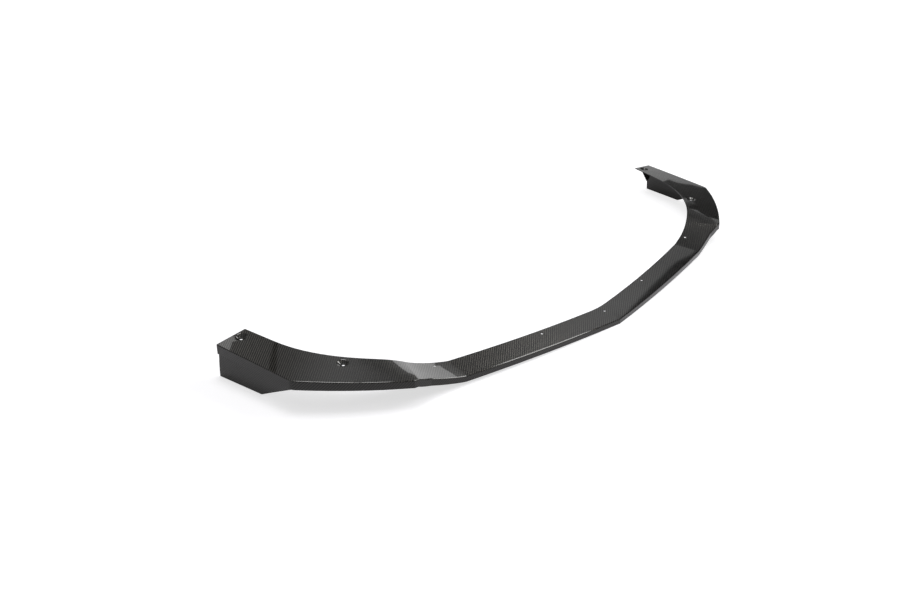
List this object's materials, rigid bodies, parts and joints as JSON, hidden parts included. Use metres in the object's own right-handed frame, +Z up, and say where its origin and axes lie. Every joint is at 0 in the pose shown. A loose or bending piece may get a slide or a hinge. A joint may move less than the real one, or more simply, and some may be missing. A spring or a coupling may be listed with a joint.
{
  "type": "front splitter lip",
  "caption": "Swept front splitter lip of woven carbon laminate: a low blade that ramps up to raised wings, each with a vertical fin underneath.",
  "frame": {"origin": "on the floor under the middle of the lip: half-way across its width and half-way along its depth", "axes": "+X across the car, the nose towards -Y, +Z up"},
  "size_m": [1.7996, 0.54, 0.0973],
  "materials": {
    "carbon_laminate": "clear-coated twill weave"
  },
  "bodies": {
    "root": {"splitter_lip": "carbon_laminate"}
  },
  "joints": []
}
